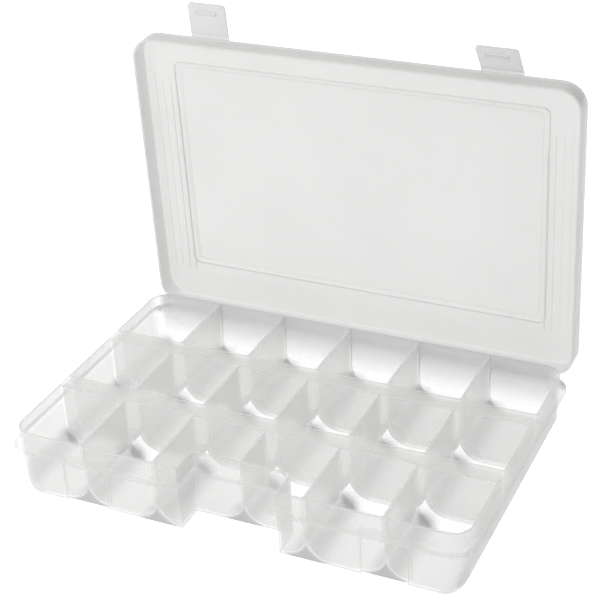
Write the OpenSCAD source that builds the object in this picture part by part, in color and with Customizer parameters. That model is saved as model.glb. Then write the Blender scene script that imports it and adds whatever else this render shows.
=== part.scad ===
// Compartment box with a film-hinged lid and two snap latches, drawn with the lid standing open.
// Origin: middle of the open box's outline on the resting plane. +Z up, front is -Y, length along X.

/* [Tray] */
// Centre to centre spacing of the compartment columns
col_pitch = 45; // [30:0.5:60]
// Number of compartment columns
cols = 6; // [2:1:8]
// Depth of the tray body, front face to rear face
tray_d = 171.6; // [120:1:220]
// How far the middle of the tray lies in front of the origin
tray_shift = 8.8; // [0:0.1:20]
// Height of the tray rim above the table
tray_h = 40; // [25:0.5:60]
// Wall and floor thickness of the moulding
wall = 1.2; // [0.8:0.1:2.5]
// Y of the centre of the front row ledge
ledge_y1 = -38.3; // [-55:0.1:-25]
// Y of the centre of the rear row ledge
ledge_y2 = 18.9; // [5:0.1:35]
// Width of the hollow ledges between the rows
ledge_w = 9.4; // [5:0.2:14]
// Inside radius that scoops each compartment floor up into its side walls
scoop_r = 13; // [6:0.5:18]
// Plan radius of the outside corners
corner_r = 12; // [6:0.5:20]

/* [Flange] */
// How far the flange stands out from the side walls
flange_out = 3; // [1.5:0.1:5]
// Front flange reach, wider where the latches snap under it
flange_front = 4; // [2:0.1:6]
// Rear flange reach, wider to carry the hinge
flange_rear = 6; // [3:0.1:8]
// Top face of the flange above the table
flange_z = 30; // [20:0.5:36]
// Flange thickness
flange_t = 2.5; // [1.5:0.1:4]

/* [Front] */
// Half width of the finger recess
recess_half = 29.4; // [15:0.1:40]
// Depth of the finger recess
recess_d = 18; // [8:0.1:24]
// Distance of each latch pocket from the middle
latch_x = 90; // [60:1:110]
// Width of a latch pocket
pocket_w = 26.5; // [20:0.5:35]
// How far a latch pocket is set back
pocket_d = 2.5; // [1.5:0.1:4]

/* [Lid] */
// Y of the hinge axis
hinge_y = 84.5; // [80:0.1:88]
// Z of the hinge axis
hinge_z = 29; // [20:0.1:36]
// Angle the lid stands open in the drawing
lid_open = 87.7; // [0:0.1:90]
// Half width of the lid
lid_half = 138.3; // [130:0.1:145]
// Top face of the closed lid border above the table
lid_top_z = 43; // [41:0.1:50]
// Lid wall thickness
lid_t = 1.3; // [0.8:0.1:2.5]
// Plan radius of the lid corners
lid_r = 14; // [6:0.5:20]
// How far the middle panel is raised
panel_up = 1.2; // [0.5:0.1:3]
// Half width of the raised panel
panel_half = 113.5; // [90:0.5:125]
// Plan radius of the raised panel's corners
panel_r = 3.5; // [2:0.5:12]
// From the lid's front edge to the raised panel
panel_front = 21; // [14:0.5:40]
// From the lid's rear edge to the raised panel
panel_rear = 30; // [14:0.5:40]

/* [Latches] */
// Latch width
latch_w = 24.5; // [15:0.5:30]
// Latch length from its hinge axis
latch_len = 20.5; // [18:0.5:30]
// Latch thickness
latch_t = 1.4; // [1:0.1:2.5]
// Lean of the left latch from the lid plane in the drawing
lean_left = 4; // [0:1:90]
// Lean of the right latch from the lid plane in the drawing
lean_right = 32; // [0:1:90]

/* [Hidden] */
$fn = 48;
half = cols * col_pitch / 2 + wall / 2;
fy = -tray_d / 2 - tray_shift;
ry = fy + tray_d;
// X where the outer wall scoops meet the flat floor
edge_x = half - wall - scoop_r;
lid_front = fy - flange_front - 0.3;
lid_rear = hinge_y + 0.4;
bead = 0.5;
fit = 0.06;
latch_ay = lid_front - 1.7;
latch_az = lid_top_z - 1.8;
web_half = half - 12;
e = 1;
row_y = [[fy + wall, ledge_y1 - ledge_w / 2],
         [ledge_y1 + ledge_w / 2, ledge_y2 - ledge_w / 2],
         [ledge_y2 + ledge_w / 2, ry - wall]];
clear_pp = [0.86, 0.88, 0.88, 0.45];
lid_pp = [0.80, 0.83, 0.84, 0.40];
latch_pp = [0.70, 0.74, 0.76, 0.60];

// ---- helpers ----

module rounded(x0, y0, x1, y1, r) {
    translate([x0 + r, y0]) square([x1 - x0 - 2 * r, y1 - y0]);
    translate([x0, y0 + r]) square([x1 - x0, y1 - y0 - 2 * r]);
    for (x = [x0 + r, x1 - r], y = [y0 + r, y1 - r]) translate([x, y]) circle(r);
}

// Profile with a scooped bottom, drawn in X and Z
module scoop(x0, x1, z0, z1, r) {
    translate([x0 + r, z0]) square([x1 - x0 - 2 * r, z1 - z0]);
    translate([x0, z0 + r]) square([x1 - x0, z1 - z0 - r]);
    for (x = [x0 + r, x1 - r]) translate([x, z0 + r]) circle(r);
}

module along_y(y0, y1) {
    translate([0, y1, 0]) rotate([90, 0, 0]) linear_extrude(y1 - y0) children();
}

module box(x0, y0, z0, x1, y1, z1) {
    translate([x0, y0, z0]) cube([x1 - x0, y1 - y0, z1 - z0]);
}

// Inside of one compartment column, k counts from the left
module column_hollow(k) {
    x0 = -half + wall / 2 + (k - 1) * col_pitch;
    scoop(x0 + wall / 2, x0 + col_pitch - wall / 2, wall, tray_h, scoop_r);
}

module column_shell(k) {
    x0 = -half + wall / 2 + (k - 1) * col_pitch;
    a = max(x0, -edge_x);
    b = min(x0 + col_pitch, edge_x);
    difference() {
        intersection() {
            scoop(x0 - wall / 2, x0 + col_pitch + wall / 2, 0, tray_h, scoop_r + wall);
            translate([a, 0]) square([b - a, tray_h]);
        }
        column_hollow(k);
    }
}

module end_wall(k, y0) {
    along_y(y0, y0 + wall) column_hollow(k);
}

module front_cuts() {
    box(-recess_half - wall, fy - e, -e, recess_half + wall, fy + recess_d + wall, tray_h + e);
    for (s = [-1, 1]) {
        box(s * latch_x - pocket_w / 2 - wall, fy - e, -e,
            s * latch_x + pocket_w / 2 + wall, fy + pocket_d + wall, flange_z - flange_t + wall);
    }
}

module cup(row, k) {
    y0 = row_y[row][0];
    y1 = row_y[row][1];
    color(clear_pp) difference() {
        union() {
            along_y(y0, y1) column_shell(k);
            if (row > 0) end_wall(k, y0);
            if (row < 2) end_wall(k, y1 - wall);
        }
        if (row == 0) front_cuts();
    }
}

// ---- tray walls ----

module front_wall() {
    color(clear_pp) difference() {
        union() {
            box(-edge_x, fy, 0, edge_x, fy + wall, tray_h);
            box(-recess_half - wall, fy, 0, recess_half + wall, fy + recess_d + wall, tray_h);
            for (s = [-1, 1]) {
                box(s * latch_x - pocket_w / 2 - wall, fy, 0,
                    s * latch_x + pocket_w / 2 + wall, fy + pocket_d + wall, flange_z - flange_t + wall);
            }
        }
        box(-recess_half, fy - e, -e, recess_half, fy + recess_d, tray_h + e);
        for (s = [-1, 1]) {
            box(s * latch_x - pocket_w / 2, fy - e, -e,
                s * latch_x + pocket_w / 2, fy + pocket_d, flange_z - flange_t);
        }
    }
}

module rear_wall() {
    color(clear_pp) box(-edge_x, ry - wall, 0, edge_x, ry, tray_h);
}

// Side wall with its two rounded corners and the outer scoop, s is the side
module side_wall(s) {
    color(clear_pp) intersection() {
        difference() {
            intersection() {
                along_y(fy, ry) scoop(-half, half, 0, tray_h, scoop_r + wall);
                linear_extrude(tray_h) rounded(-half, fy, half, ry, corner_r);
            }
            intersection() {
                along_y(fy + wall, ry - wall) scoop(-half + wall, half - wall, wall, tray_h + e, scoop_r);
                linear_extrude(tray_h + e)
                    rounded(-half + wall, fy + wall, half - wall, ry - wall, corner_r - wall);
            }
        }
        if (s < 0) box(-half - e, fy - e, -e, -edge_x, ry + e, tray_h + e);
        else box(edge_x, fy - e, -e, half + e, ry + e, tray_h + e);
    }
}

module left_wall() {
    side_wall(-1);
}

module right_wall() {
    side_wall(1);
}

module ledge(y) {
    color(clear_pp) box(-half + wall, y - ledge_w / 2, tray_h - wall, half - wall, y + ledge_w / 2, tray_h);
}

module ledge_front() {
    ledge(ledge_y1);
}

module ledge_rear() {
    ledge(ledge_y2);
}

module flange() {
    color(clear_pp) translate([0, 0, flange_z - flange_t]) linear_extrude(flange_t) difference() {
        rounded(-half - flange_out, fy - flange_front, half + flange_out, ry + flange_rear, corner_r + 2);
        difference() {
            rounded(-half, fy, half, ry, corner_r);
            translate([-recess_half, fy - e]) square([2 * recess_half, recess_d + e]);
        }
        translate([-recess_half + flange_out, fy - 9])
            square([2 * (recess_half - flange_out), recess_d - flange_out + 9]);
    }
}

// Rail along the rear flange: heel for the open lid, thin film and round hinge bead
module hinge_rail() {
    y0 = ry + flange_rear;
    color(clear_pp) {
        box(-web_half, y0, hinge_z - 2.5, web_half, y0 + 4, hinge_z - 0.7);
        box(-web_half, y0, hinge_z - 1, web_half, y0 + 0.8, hinge_z + 0.25);
        box(-web_half, y0 + 0.5, hinge_z - 0.25, web_half, hinge_y, hinge_z + 0.25);
        translate([-web_half, hinge_y, hinge_z]) rotate([0, 90, 0]) cylinder(h = 2 * web_half, r = bead);
    }
}

// ---- lid, drawn closed and then swung open ----

module swung() {
    translate([0, hinge_y, hinge_z]) rotate([-lid_open, 0, 0]) translate([0, -hinge_y, -hinge_z]) children();
}

module lid_panel() {
    py0 = lid_front + panel_front;
    py1 = lid_rear - panel_rear;
    z = lid_top_z;
    color(lid_pp) swung() difference() {
        union() {
            translate([0, 0, z - lid_t]) linear_extrude(lid_t)
                rounded(-lid_half, lid_front, lid_half, lid_rear, lid_r);
            translate([0, 0, z - e]) linear_extrude(panel_up + e)
                rounded(-panel_half, py0, panel_half, py1, panel_r);
        }
        translate([0, 0, z - lid_t - e]) linear_extrude(panel_up + e)
            rounded(-panel_half + lid_t, py0 + lid_t, panel_half - lid_t, py1 - lid_t, panel_r - lid_t);
    }
}

module lid_skirt() {
    z0 = flange_z + 0.3;
    color(lid_pp) swung() union() {
        translate([0, 0, z0]) linear_extrude(lid_top_z - lid_t - z0) difference() {
            rounded(-lid_half, lid_front, lid_half, lid_rear, lid_r);
            rounded(-lid_half + lid_t, lid_front + lid_t, lid_half - lid_t, lid_rear - lid_t, lid_r - lid_t);
        }
        box(-web_half, lid_rear - 0.8, hinge_z + bead + fit, web_half, lid_rear, z0 + e);
    }
}

// Short lug on the lid front that carries a latch film and bead
module latch_lug(x) {
    color(lid_pp) swung() {
        box(x - latch_w / 2, lid_front - 0.9, latch_az - 0.7, x + latch_w / 2, lid_front, latch_az + 0.7);
        box(x - latch_w / 2, latch_ay, latch_az - 0.25, x + latch_w / 2, lid_front - 0.5, latch_az + 0.25);
        translate([x - latch_w / 2, latch_ay, latch_az]) rotate([0, 90, 0]) cylinder(h = latch_w, r = bead);
    }
}

module latch_lug_left() {
    latch_lug(-latch_x);
}

module latch_lug_right() {
    latch_lug(latch_x);
}

// Latch lies along -Y from its axis, the catch rib on the under side
module latch(x, lean) {
    r = 2.5;
    s0 = latch_az - (flange_z - flange_t) + 0.3;
    color(latch_pp) swung() translate([x, latch_ay, latch_az]) rotate([lean, 0, 0]) union() {
        translate([0, 0, -latch_t / 2]) linear_extrude(latch_t) {
            translate([-latch_w / 2, -latch_len + r]) square([latch_w, latch_len - r - bead - fit]);
            translate([-latch_w / 2 + r, -latch_len]) square([latch_w - 2 * r, r + e]);
            for (i = [-1, 1]) translate([i * (latch_w / 2 - r), -latch_len + r]) circle(r);
        }
        box(-6.5, -s0 - 2, -latch_t / 2 - 1.9, 6.5, -s0, -latch_t / 2 + 0.2);
    }
}

module latch_left() {
    latch(-latch_x, lean_left);
}

module latch_right() {
    latch(latch_x, lean_right);
}

// ---- one node per file ----

cup(0, 1);  // cup_front_1
cup(0, 2);  // cup_front_2
cup(0, 3);  // cup_front_3
cup(0, 4);  // cup_front_4
cup(0, 5);  // cup_front_5
cup(0, 6);  // cup_front_6
cup(1, 1);  // cup_middle_1
cup(1, 2);  // cup_middle_2
cup(1, 3);  // cup_middle_3
cup(1, 4);  // cup_middle_4
cup(1, 5);  // cup_middle_5
cup(1, 6);  // cup_middle_6
cup(2, 1);  // cup_rear_1
cup(2, 2);  // cup_rear_2
cup(2, 3);  // cup_rear_3
cup(2, 4);  // cup_rear_4
cup(2, 5);  // cup_rear_5
cup(2, 6);  // cup_rear_6
front_wall();
rear_wall();
left_wall();
right_wall();
ledge_front();
ledge_rear();
flange();
hinge_rail();
lid_panel();
lid_skirt();
latch_lug_left();
latch_lug_right();
latch_left();
latch_right();
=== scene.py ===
import math

import bpy
from mathutils import Matrix, Vector


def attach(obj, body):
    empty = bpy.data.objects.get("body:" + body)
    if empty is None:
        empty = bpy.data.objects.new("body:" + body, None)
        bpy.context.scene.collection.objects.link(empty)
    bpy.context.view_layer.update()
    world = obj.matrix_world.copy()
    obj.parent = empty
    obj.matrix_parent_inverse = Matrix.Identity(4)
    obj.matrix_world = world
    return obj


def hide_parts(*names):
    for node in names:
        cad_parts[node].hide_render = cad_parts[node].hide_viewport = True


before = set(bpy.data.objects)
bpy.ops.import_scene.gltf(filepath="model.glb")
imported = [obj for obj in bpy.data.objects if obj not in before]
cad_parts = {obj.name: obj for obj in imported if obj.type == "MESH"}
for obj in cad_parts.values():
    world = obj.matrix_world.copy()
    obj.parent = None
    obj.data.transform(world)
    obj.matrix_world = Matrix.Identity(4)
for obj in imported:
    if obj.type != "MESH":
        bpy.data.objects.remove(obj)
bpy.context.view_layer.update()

MM = 0.001

# Main sizes of the box in millimetres. The front is -Y and the base lies on Z = 0.
COLUMN = 45.0
HALF = 135.6
FRONT, REAR = -94.6, 77.0
HEIGHT = 40.0
WALL = 1.2
SCOOP = 13.0
DRAFT = 0.025
ROWS = ((-93.4, -44.2), (-32.4, 13.0), (24.8, 75.8))
GAPS = ((-43.0, -33.6), (14.2, 23.6))
RECESS_HALF, RECESS_BACK = 29.4, -76.6
POCKET_HALF, POCKET_DEPTH, POCKET_TOP = 13.25, 2.5, 27.5
FLANGE_SIDE, FLANGE_FRONT, FLANGE_REAR = 3.0, 4.0, 6.0
FLANGE_LOW, FLANGE_HIGH = 27.5, 30.0
HINGE_Y, HINGE_Z = 84.5, 29.0
LID_HALF, LID_LENGTH, LID_DEPTH = 138.3, 183.4, 14.0
LID_WALL = 1.3
# Lean of the open lid past upright, in degrees.
LID_LEAN = 2.3
# The latches: place along X, hinge axis, size, and lean from the lid's plane in degrees.
LATCH_X = 90.0
LATCH_Y, LATCH_Z = 89.26, 214.44
LATCH_HALF, LATCH_LENGTH = 12.25, 20.5
LATCH_LEAN = {"left": 4, "right": 32}
# The lid's raised panel: half width and lower and upper edge above the hinge, at its foot and on top.
PANEL_FOOT = (117.4, 26.2, 165.8)
PANEL_TOP = (113.5, 29.6, 162.4)


# ---------------------------------------------------------------- modelling helpers

def clear_selection():
    if bpy.context.object and bpy.context.object.mode != "OBJECT":
        bpy.ops.object.mode_set(mode="OBJECT")
    bpy.ops.object.select_all(action="DESELECT")


def pick(piece):
    clear_selection()
    piece.select_set(True)
    bpy.context.view_layer.objects.active = piece


def settle(piece):
    pick(piece)
    bpy.ops.object.transform_apply(location=True, rotation=True, scale=True)


def block(name, low, high):
    """A block between two corners given in millimetres."""
    clear_selection()
    centre = [(a + b) / 2 * MM for a, b in zip(low, high)]
    bpy.ops.mesh.primitive_cube_add(size=1, location=centre)
    piece = bpy.context.object
    piece.name = name
    piece.scale = [(b - a) * MM for a, b in zip(low, high)]
    settle(piece)
    return piece


def rod(name, start, length, radius):
    """A round bar that runs from a start point in millimetres along Y."""
    clear_selection()
    centre = (Vector(start) + Vector((0, length / 2, 0))) * MM
    bpy.ops.mesh.primitive_cylinder_add(
        vertices=96, radius=radius * MM, depth=length * MM, location=centre, rotation=(math.pi / 2, 0, 0))
    piece = bpy.context.object
    piece.name = name
    settle(piece)
    return piece


def near(value, target, slack=0.05):
    return abs(value / MM - target) < slack


def select_edges(piece, test):
    """Selects the edges whose two ends pass a test on their place, and stays in edit mode."""
    pick(piece)
    bpy.ops.object.mode_set(mode="EDIT")
    bpy.ops.mesh.select_mode(type="EDGE")
    bpy.ops.mesh.select_all(action="DESELECT")
    bpy.ops.object.mode_set(mode="OBJECT")
    points = piece.data.vertices
    for edge in piece.data.edges:
        a, b = (points[i].co for i in edge.vertices)
        edge.select = bool(test(a, b))
    bpy.ops.object.mode_set(mode="EDIT")


def round_edges(piece, radius, test, segments=8):
    select_edges(piece, test)
    bpy.ops.mesh.bevel(offset=radius * MM, segments=segments, affect="EDGES", clamp_overlap=True)
    bpy.ops.object.mode_set(mode="OBJECT")


def scale_end(piece, axis, place, factors):
    """Scales the end face that lies at one place along an axis about the face's own middle."""
    select_edges(piece, lambda a, b: near(a[axis], place) and near(b[axis], place))
    corners = [v.co for v in piece.data.vertices if near(v.co[axis], place)]
    middle = sum(corners, Vector()) / len(corners)
    bpy.ops.transform.resize(value=factors, center_override=middle)
    bpy.ops.object.mode_set(mode="OBJECT")


def boolean(piece, other, operation):
    pick(piece)
    cut = piece.modifiers.new(operation.title(), "BOOLEAN")
    cut.operation = operation
    cut.solver = "EXACT"
    cut.object = other
    bpy.ops.object.modifier_apply(modifier=cut.name)
    bpy.data.objects.remove(other)
    return piece


def join(name, parts):
    clear_selection()
    for part in parts:
        part.select_set(True)
    bpy.context.view_layer.objects.active = parts[0]
    bpy.ops.object.join()
    parts[0].name = name
    return parts[0]


def copy_of(piece, shift):
    """A copy with its own mesh, moved by millimetres."""
    pick(piece)
    bpy.ops.object.duplicate()
    twin = bpy.context.object
    bpy.ops.transform.translate(value=[v * MM for v in shift])
    settle(twin)
    return twin


def lean(piece, degrees, y, z):
    """Turns a piece about an axis along X, the top towards -Y."""
    pick(piece)
    turn = Matrix.Translation((0, y * MM, z * MM)) @ Matrix.Rotation(math.radians(degrees), 4, "X")
    piece.matrix_world = turn @ Matrix.Translation((0, -y * MM, -z * MM))
    settle(piece)


def smooth(piece):
    pick(piece)
    bpy.ops.object.shade_smooth_by_angle(angle=math.radians(35))


def rounded_block(name, low, high, radius, segments=10):
    piece = block(name, low, high)
    round_edges(piece, radius, lambda a, b: abs(a.z - b.z) > 1e-4, segments)
    return piece


def scooped_block(name, low, high, radius, segments=12):
    """A block whose two long bottom edges along Y are rounded."""
    piece = block(name, low, high)
    floor = low[2]
    round_edges(piece, radius, lambda a, b: near(a.z, floor) and near(b.z, floor)
                and abs(a.y - b.y) > 1e-4, segments)
    return piece


# ---------------------------------------------------------------- tray

def tray_form(inset, top):
    """The tray's outline with its draft: rounded corners in plan, scooped long bottom edges."""
    def span(z):
        shrink = inset + DRAFT * (HEIGHT - z)
        return HALF - shrink, FRONT + shrink, REAR - shrink
    half_low, front_low, rear_low = span(inset)
    half_top, front_top, rear_top = span(top)
    factors = (half_low / half_top, (rear_low - front_low) / (rear_top - front_top), 1)
    plan = block("tray_shell", (-half_top, front_top, inset), (half_top, rear_top, top))
    scale_end(plan, 2, inset, factors)
    round_edges(plan, 12 - inset, lambda a, b: abs(a.z - b.z) > 1e-4, 10)
    sides = block("scoop", (-half_top, FRONT - 9, inset), (half_top, REAR + 9, top + 5))
    scale_end(sides, 2, inset, (factors[0], 1, 1))
    round_edges(sides, SCOOP + WALL - inset, lambda a, b: near(a.z, inset) and near(b.z, inset)
                and abs(a.y - b.y) > 1e-4, 14)
    return boolean(plan, sides, "INTERSECT")


def compartment_cutter(column, row):
    """The hollow of one compartment, with a small fillet where its end walls meet the scoop."""
    x0 = -135 + (column - 1) * COLUMN + WALL / 2
    y0, y1 = ROWS[row]
    top = HEIGHT + 8
    piece = scooped_block("hollow", (x0, y0, WALL), (x0 + COLUMN - WALL, y1, top), SCOOP)
    def end_edge(a, b):
        at_end = near(a.y, y0) and near(b.y, y0) or near(a.y, y1) and near(b.y, y1)
        return at_end and not (near(a.z, top) and near(b.z, top))
    round_edges(piece, 1.6, end_edge, 3)
    return piece


def front_cut(grow=0.0):
    """Blocks that set the middle of the front back for the fingers, and the two latch pockets."""
    parts = [rounded_block("recess", (-RECESS_HALF - grow, FRONT - 20, -5),
                           (RECESS_HALF + grow, RECESS_BACK + grow, HEIGHT + 20), 2.0 + grow, 5)]
    for side in (-1, 1):
        x = side * LATCH_X
        parts.append(block("pocket", (x - POCKET_HALF - grow, FRONT - 20, -5),
                           (x + POCKET_HALF + grow, FRONT + POCKET_DEPTH + grow, POCKET_TOP + grow)))
    return join("front_cut", parts)


def valley_cutter():
    """The open hollow under one column divider, between the scoops of two compartments."""
    reach = WALL / 2 + SCOOP
    edge = WALL + 1.2
    piece = block("valley", (-reach, FRONT + edge, -3), (reach, REAR - edge, 11))
    for side in (-1, 1):
        scoop = rod("scoop", (side * reach, FRONT - 5, SCOOP + WALL), REAR - FRONT + 10, SCOOP + WALL)
        boolean(piece, scoop, "DIFFERENCE")
    return piece


def build_tray():
    tray = tray_form(0.0, HEIGHT)
    boolean(tray, front_cut(), "DIFFERENCE")

    flange = rounded_block("flange", (-HALF - FLANGE_SIDE, FRONT - FLANGE_FRONT, FLANGE_LOW),
                           (HALF + FLANGE_SIDE, REAR + FLANGE_REAR, FLANGE_HIGH), 14)
    round_edges(flange, 0.9, lambda a, b: abs(a.z - b.z) < 1e-5, 3)
    inlet = rounded_block("inlet", (-RECESS_HALF + 3, FRONT - 20, 20),
                          (RECESS_HALF - 3, RECESS_BACK - 3, 40), 1.5, 4)
    boolean(flange, inlet, "DIFFERENCE")
    boolean(tray, flange, "UNION")

    valley = valley_cutter()
    valleys = [valley] + [copy_of(valley, (COLUMN * i, 0, 0)) for i in (-2, -1, 1, 2)]
    valleys = join("valleys", valleys)
    boolean(valleys, front_cut(WALL), "DIFFERENCE")
    boolean(tray, valleys, "DIFFERENCE")

    for y0, y1 in GAPS:
        reach = HALF - WALL - 1
        gap = scooped_block("gap", (-reach, y0, WALL), (reach, y1, HEIGHT - WALL), SCOOP)
        foot = block("foot", (-HALF + WALL + SCOOP, y0, -3), (HALF - WALL - SCOOP, y1, 5))
        boolean(gap, foot, "UNION")
        boolean(tray, gap, "DIFFERENCE")

    hollows = join("hollows", [compartment_cutter(c, r) for r in range(3) for c in range(1, 7)])
    boolean(hollows, tray_form(WALL, HEIGHT + 20), "INTERSECT")
    boolean(hollows, front_cut(WALL), "DIFFERENCE")
    boolean(tray, hollows, "DIFFERENCE")
    smooth(tray)
    return tray


# ---------------------------------------------------------------- lid, built upright, then leant

def lid_block(name, x0, x1, v0, v1, w0, w1):
    """A block given by its reach along X, up from the hinge (v) and back from it (w)."""
    return block(name, (x0, HINGE_Y + w0, HINGE_Z + v0), (x1, HINGE_Y + w1, HINGE_Z + v1))


def lid_form(name, inset, mouth):
    """The lid as a solid: skirt, sloped border and raised middle panel, drawn in by an inset."""
    back = LID_DEPTH - inset
    side, low, high = LID_HALF - inset, -0.4 + inset, LID_LENGTH - inset
    shell = lid_block(name, -side, side, low, high, mouth, back)
    round_edges(shell, 14 - inset, lambda a, b: abs(a.y - b.y) > 1e-4, 10)
    face = HINGE_Y + back
    round_edges(shell, 2.2 - inset, lambda a, b: near(a.y, face) and near(b.y, face), 4)
    border = lid_block("border", -side + 4, side - 4, low + 4, high - 4, back - 1, back + 0.6)
    scale_end(border, 1, HINGE_Y + back + 0.6, (118 / (side - 4), 1, 146 / (high - low - 8)))
    boolean(shell, border, "UNION")
    foot, foot_low, foot_high = PANEL_FOOT
    top, top_low, top_high = PANEL_TOP
    panel = lid_block("panel", -foot, foot, foot_low, foot_high, back - 1, back + 1.2)
    round_edges(panel, 4.5, lambda a, b: abs(a.y - b.y) > 1e-4, 6)
    factors = (top / foot, 1, (top_high - top_low) / (foot_high - foot_low))
    scale_end(panel, 1, HINGE_Y + back + 1.2, factors)
    boolean(shell, panel, "UNION")
    return shell


def mould_lines():
    """Shallow ribs on the inside of the border: long lines at the sides, two short bars per latch."""
    inner = LID_DEPTH - LID_WALL
    bars = []
    for side in (-1, 1):
        for x, top in ((131, 158), (126, 154), (121, 149), (116.6, 139)):
            a, b = sorted((side * (x - 0.2), side * (x + 0.2)))
            bars.append(lid_block("line", a, b, 22, top, inner - 0.25, inner + 0.3))
        for a, b, v in ((81, 99, 181.5), (83, 95.5, 177)):
            a, b = sorted((side * a, side * b))
            bars.append(lid_block("bar", a, b, v - 0.6, v + 0.6, inner - 0.7, inner + 0.3))
    bars.append(panel_ring(*PANEL_FOOT, 4.5, inner - 0.3, inner + 0.5))
    bars.append(panel_ring(*PANEL_TOP, 3.0, inner + 0.9, inner + 1.6))
    return join("mould_lines", bars)


def panel_ring(half, v0, v1, radius, w0, w1, width=0.5):
    """A narrow rib that follows the outline of the raised panel."""
    ring = lid_block("ring", -half, half, v0, v1, w0, w1)
    round_edges(ring, radius, lambda a, b: abs(a.y - b.y) > 1e-4, 8)
    hole = lid_block("hole", -half + width, half - width, v0 + width, v1 - width, w0 - 1, w1 + 1)
    round_edges(hole, radius - width, lambda a, b: abs(a.y - b.y) > 1e-4, 8)
    return boolean(ring, hole, "DIFFERENCE")


def build_lid():
    lid = lid_form("lid_shell", 0.0, 1.3)
    boolean(lid, lid_form("lid_inside", LID_WALL, -12), "DIFFERENCE")
    lip = lid_block("lip", -123.6, 123.6, -0.4, 0.4, 0.56, 2.0)
    boolean(lid, lip, "UNION")
    boolean(lid, mould_lines(), "UNION")
    lean(lid, LID_LEAN, HINGE_Y, HINGE_Z)
    smooth(lid)
    return lid


# ---------------------------------------------------------------- latches

def build_latch(name, x, degrees):
    """A flat tongue on the lid's front edge with a catch rib on its inner face."""
    y, z = LATCH_Y, LATCH_Z
    tip = z + LATCH_LENGTH
    tongue = block(name, (x - LATCH_HALF, y - 0.7, z + 0.56), (x + LATCH_HALF, y + 0.7, tip))
    round_edges(tongue, 2.5, lambda a, b: abs(a.y - b.y) > 1e-4 and near(a.z, tip) and near(b.z, tip), 6)
    round_edges(tongue, 0.35, lambda a, b: abs(a.y - b.y) < 1e-5, 2)
    catch = block("catch", (x - 6.5, y - 2.6, z + 14), (x + 6.5, y, z + 16))
    round_edges(catch, 0.5, lambda a, b: near(a.y, y - 2.6) and near(b.y, y - 2.6), 3)
    boolean(tongue, catch, "UNION")
    lean(tongue, degrees, y, z)
    smooth(tongue)
    return tongue


# ---------------------------------------------------------------- plastic

def node(tree, kind, **values):
    """A new node with its inputs set by name."""
    made = tree.nodes.new(kind)
    for name, value in values.items():
        made.inputs[name.replace("_", " ")].default_value = value
    return made


def group_of(name, outputs):
    group = bpy.data.node_groups.new(name, "ShaderNodeTree")
    for label in outputs:
        group.interface.new_socket(label, in_out="OUTPUT", socket_type="NodeSocketFloat")
    return group, group.nodes.new("NodeGroupOutput")


def mould_texture():
    """A shared group: slow clouds in the resin, and fine unevenness of the moulded skin."""
    group, out = group_of("mould texture", ("Cloud", "Skin"))
    place = group.nodes.new("ShaderNodeTexCoord")
    cloud = node(group, "ShaderNodeTexNoise", Scale=14.0, Detail=3.0, Roughness=0.5)
    skin = node(group, "ShaderNodeTexNoise", Scale=110.0, Detail=2.0)
    for noise, socket in ((cloud, "Cloud"), (skin, "Skin")):
        group.links.new(place.outputs["Object"], noise.inputs["Vector"])
        group.links.new(noise.outputs["Fac"], out.inputs[socket])
    return group


class Wires:
    """Short forms for value nodes inside one node tree."""

    def __init__(self, tree):
        self.tree = tree

    def put(self, value, socket):
        if isinstance(value, (int, float)):
            socket.default_value = value
        else:
            self.tree.links.new(value, socket)

    def math(self, operation, a, b=0.0, clamp=False):
        made = self.tree.nodes.new("ShaderNodeMath")
        made.operation = operation
        made.use_clamp = clamp
        self.put(a, made.inputs[0])
        self.put(b, made.inputs[1])
        return made.outputs[0]

    def span(self, value, from_low, from_high, to_low=0.0, to_high=1.0, smooth=False):
        made = self.tree.nodes.new("ShaderNodeMapRange")
        made.interpolation_type = "SMOOTHSTEP" if smooth else "LINEAR"
        for name, number in (("From Min", from_low), ("From Max", from_high),
                             ("To Min", to_low), ("To Max", to_high)):
            made.inputs[name].default_value = number
        self.put(value, made.inputs["Value"])
        return made.outputs["Result"]

    def between(self, value, low, high):
        above = self.math("GREATER_THAN", value, low)
        return self.math("MULTIPLY", above, self.math("LESS_THAN", value, high))

    def product(self, *values):
        result = values[0]
        for value in values[1:]:
            result = self.math("MULTIPLY", result, value)
        return result


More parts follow.
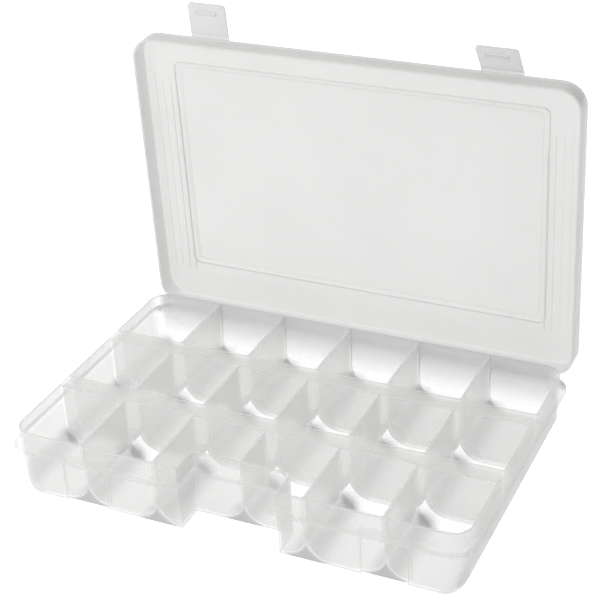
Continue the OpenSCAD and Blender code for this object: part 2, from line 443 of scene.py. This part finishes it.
def tray_zones():
    """A shared group: the rim seen edge on; painted shade at the foot of each divider, in the valleys
    seen through the front and rear skirts, at the back corners and on the upper rear wall; and on the
    front and rear skirts the curve of each compartment's end."""
    group, out = group_of("tray zones", ("Rim", "Foot shade", "Corner shade", "Curve"))
    w = Wires(group)
    place = group.nodes.new("ShaderNodeTexCoord")
    split = group.nodes.new("ShaderNodeSeparateXYZ")
    group.links.new(place.outputs["Object"], split.inputs[0])
    x, y, z = (w.math("MULTIPLY", split.outputs[i], 1000.0) for i in range(3))
    reach = w.math("PINGPONG", w.math("ADD", x, 135.0), COLUMN / 2)
    # Painted shade: a darker, denser band low down beside each divider, where shade falls in the scoop.
    low = w.span(z, 0.0, 15.0, 1.0, 0.0, True)
    foot = w.product(w.span(reach, 0.0, 14.0, 1.0, 0.0, True), low)
    across = w.math("MAXIMUM", w.math("SUBTRACT", SCOOP + WALL / 2, reach), 0.0)
    below = w.math("MAXIMUM", w.math("SUBTRACT", SCOOP + WALL, z), 0.0)
    away = w.math("SQRT", w.math("ADD", w.product(across, across), w.product(below, below)))
    middle = w.math("LESS_THAN", w.math("ABSOLUTE", x), RECESS_HALF + 1.5)
    skirt = w.math("MAXIMUM", w.math("LESS_THAN", y, FRONT + 4.0),
                   w.product(middle, w.math("LESS_THAN", y, RECESS_BACK + 1.3)))
    skirt = w.math("MAXIMUM", skirt, w.math("GREATER_THAN", y, REAR - 2.5))
    curve = w.product(skirt, w.between(away, 13.0, 14.2))
    inside = w.span(skirt, 0.0, 1.0, 0.75, 0.0)
    # On the skirts the foot's painted shade also covers each valley beyond the compartment's curve.
    foot = w.math("ADD", w.product(foot, inside), w.product(skirt, w.span(away, 14.2, 14.7)))
    rim = w.math("GREATER_THAN", z, HEIGHT - 0.35)
    for y0, y1 in GAPS:
        rim = w.math("SUBTRACT", rim, w.product(rim, w.between(y, y0, y1)))
    # Painted shade in the back corner of each compartment, low down beside the dividers.
    corner_shade = None
    for row in ROWS:
        distance = w.math("ABSOLUTE", w.math("SUBTRACT", y, row[1] - 1.0))
        touch = w.span(distance, 0.0, 5.0, 1.0, 0.0, True)
        corner_shade = touch if corner_shade is None else w.math("MAXIMUM", corner_shade, touch)
    corner_shade = w.product(corner_shade, w.span(reach, 1.0, 12.0, 1.0, 0.0, True),
                       w.span(z, 1.0, 12.0, 1.0, 0.0, True))
    # Painted shade on the upper part of the rear wall, darker towards the top.
    rear = w.product(w.span(y, REAR - 5, REAR - 2), w.span(z, 8.0, 34.0, 0.0, 0.6, True))
    corner_shade = w.math("MAXIMUM", corner_shade, rear)
    for label, value in (("Rim", rim), ("Foot shade", foot), ("Corner shade", corner_shade), ("Curve", curve)):
        group.links.new(value, out.inputs[label])
    return group


def plastic(name, texture, dark, light, alpha, edge_alpha, gloss=(0.16, 0.24), zones=None, painted_shade_colour=None):
    """Natural polypropylene: milky and clear enough to see through, denser at a glancing angle; on the
    tray, painted shade darkens the divider feet, the valleys, the back corners and the rear wall.
    """
    material = bpy.data.materials.new(name)
    material.use_nodes = True
    tree = material.node_tree
    w = Wires(tree)
    shader = tree.nodes["Principled BSDF"]
    shader.inputs["IOR"].default_value = 1.49
    shape = tree.nodes.new("ShaderNodeGroup")
    shape.node_tree = texture
    colour = blend_colour(w, w.span(shape.outputs["Cloud"], 0.3, 0.7), (*dark, 1), (*light, 1))
    facing = tree.nodes.new("ShaderNodeLayerWeight")
    facing.inputs["Blend"].default_value = 0.35
    density = w.span(facing.outputs["Facing"], 0.0, 1.0, alpha, edge_alpha)
    if zones:
        area = tree.nodes.new("ShaderNodeGroup")
        area.node_tree = zones
        # Painted shade: the foot and corner masks mix the base colour towards the darker painted shade
        # colour and raise the density.
        shade = w.math("ADD", area.outputs["Foot shade"], area.outputs["Corner shade"], True)
        colour = blend_colour(w, shade, colour, (*painted_shade_colour, 1))
        line = w.math("MAXIMUM", area.outputs["Rim"], area.outputs["Curve"])
        extra = w.math("ADD", w.math("MULTIPLY", shade, 0.75), w.math("MULTIPLY", line, 0.4))
        density = w.math("ADD", density, extra, True)
    path = tree.nodes.new("ShaderNodeLightPath")
    passing = w.math("MAXIMUM", path.outputs["Is Shadow Ray"], path.outputs["Is Diffuse Ray"])
    density = w.math("MULTIPLY", density, w.span(passing, 0.0, 1.0, 1.0, 0.2))
    tree.links.new(colour, shader.inputs["Base Color"])
    tree.links.new(w.span(shape.outputs["Skin"], 0.3, 0.7, *gloss), shader.inputs["Roughness"])
    tree.links.new(density, shader.inputs["Alpha"])
    bump = node(tree, "ShaderNodeBump", Strength=0.06, Distance=0.0003)
    tree.links.new(shape.outputs["Skin"], bump.inputs["Height"])
    tree.links.new(bump.outputs["Normal"], shader.inputs["Normal"])
    return material


def blend_colour(w, factor, a, b):
    made = w.tree.nodes.new("ShaderNodeMix")
    made.data_type = "RGBA"
    first, second = [s for s in made.inputs if s.type == "RGBA"]
    w.put(factor, made.inputs[0])
    for value, socket in ((a, first), (b, second)):
        if isinstance(value, tuple):
            socket.default_value = value
        else:
            w.tree.links.new(value, socket)
    return [s for s in made.outputs if s.type == "RGBA"][0]


def dress(piece, material):
    piece.data.materials.clear()
    piece.data.materials.append(material)


# ---------------------------------------------------------------- studio

def build_camera():
    """Stands to the front right of the box, looking down on it."""
    yaw, pitch, roll = math.radians(25.92), math.radians(29.11), math.radians(-2.84)
    ahead = Vector((-math.sin(yaw) * math.cos(pitch), math.cos(yaw) * math.cos(pitch), -math.sin(pitch)))
    right = Vector((math.cos(yaw), math.sin(yaw), 0))
    up = right.cross(ahead)
    tilted_right = math.cos(roll) * right + math.sin(roll) * up
    tilted_up = -math.sin(roll) * right + math.cos(roll) * up
    data = bpy.data.cameras.new("camera")
    data.sensor_width = 36
    data.lens = 94.12
    data.clip_start, data.clip_end = 0.05, 20
    camera = bpy.data.objects.new("camera", data)
    bpy.context.scene.collection.objects.link(camera)
    turn = Matrix((tilted_right, tilted_up, -ahead)).transposed()
    camera.matrix_world = Matrix.Translation((0.33759, -0.6872, 0.52636)) @ turn.to_4x4()
    bpy.context.scene.camera = camera


def soft_light(name, place, aim, size, power):
    data = bpy.data.lights.new(name, "AREA")
    data.shape = "RECTANGLE"
    data.size, data.size_y = size
    data.energy = power
    lamp = bpy.data.objects.new(name, data)
    bpy.context.scene.collection.objects.link(lamp)
    direction = Vector(aim) - Vector(place)
    lamp.rotation_euler = direction.to_track_quat("-Z", "Y").to_euler()
    lamp.location = place


def build_studio():
    scene = bpy.context.scene
    scene.view_settings.view_transform = "Standard"
    scene.cycles.transparent_max_bounces = 64
    world = bpy.data.worlds.new("studio")
    scene.world = world
    world.use_nodes = True
    tree = world.node_tree
    sky = tree.nodes["Background"]
    sky.inputs["Color"].default_value = (1, 1, 1, 1)
    path = tree.nodes.new("ShaderNodeLightPath")
    place = tree.nodes.new("ShaderNodeTexCoord")
    split = tree.nodes.new("ShaderNodeSeparateXYZ")
    side = node(tree, "ShaderNodeMapRange", From_Min=-1.0, To_Min=0.6, To_Max=0.1)
    above = node(tree, "ShaderNodeMapRange", To_Max=0.5)
    total = node(tree, "ShaderNodeMath")
    level = node(tree, "ShaderNodeMapRange", To_Max=1.05)
    tree.links.new(place.outputs["Generated"], split.inputs[0])
    tree.links.new(split.outputs["X"], side.inputs["Value"])
    tree.links.new(split.outputs["Z"], above.inputs["Value"])
    tree.links.new(side.outputs["Result"], total.inputs[0])
    tree.links.new(above.outputs["Result"], total.inputs[1])
    tree.links.new(total.outputs["Value"], level.inputs["To Min"])
    tree.links.new(path.outputs["Is Camera Ray"], level.inputs["Value"])
    tree.links.new(level.outputs["Result"], sky.inputs["Strength"])
    clear_selection()
    bpy.ops.mesh.primitive_plane_add(size=6, location=(0, 0, -0.0002))
    floor = bpy.context.object
    floor.name = "floor"
    material = bpy.data.materials.new("pale floor")
    material.use_nodes = True
    shader = material.node_tree.nodes["Principled BSDF"]
    shader.inputs["Base Color"].default_value = (0.6, 0.6, 0.6, 1)
    shader.inputs["Roughness"].default_value = 0.9
    shader.inputs["Emission Color"].default_value = (1, 1, 1, 1)
    path = material.node_tree.nodes.new("ShaderNodeLightPath")
    glow = node(material.node_tree, "ShaderNodeMapRange", To_Min=0.5, To_Max=0.8)
    material.node_tree.links.new(path.outputs["Is Camera Ray"], glow.inputs["Value"])
    material.node_tree.links.new(glow.outputs["Result"], shader.inputs["Emission Strength"])
    floor.data.materials.append(material)
    soft_light("key", (-0.45, -0.35, 0.5), (0, 0, 0.08), (0.5, 0.5), 1.3)


build_camera()
build_studio()

texture = mould_texture()
# The tray's last colour is the painted shade grey, mixed in by the tray zones.
pp_tray = plastic("polypropylene tray", texture, (0.79, 0.795, 0.78), (0.86, 0.865, 0.85), 0.15, 0.74,
                  zones=tray_zones(), painted_shade_colour=(0.60, 0.605, 0.61))
pp_lid = plastic("polypropylene lid", texture, (0.74, 0.745, 0.73), (0.79, 0.795, 0.78), 0.44, 0.97)
pp_latch = plastic("polypropylene latch", texture, (0.65, 0.655, 0.65), (0.73, 0.735, 0.73), 0.5, 0.85)

tray = build_tray()
dress(tray, pp_tray)
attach(tray, "tray")
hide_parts(*[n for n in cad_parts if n.startswith("cup_")],
            "front_wall", "rear_wall", "left_wall", "right_wall", "ledge_front", "ledge_rear", "flange")

lid = build_lid()
dress(lid, pp_lid)
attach(lid, "lid")
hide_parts("lid_panel", "lid_skirt")

for side, x in (("left", -LATCH_X), ("right", LATCH_X)):
    latch = build_latch("latch_tongue_" + side, x, LID_LEAN + LATCH_LEAN[side])
    dress(latch, pp_latch)
    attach(latch, "latch_%s_body" % side)
    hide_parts("latch_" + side)

for name in ("hinge_rail", "latch_lug_left", "latch_lug_right"):
    dress(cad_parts[name], pp_lid)
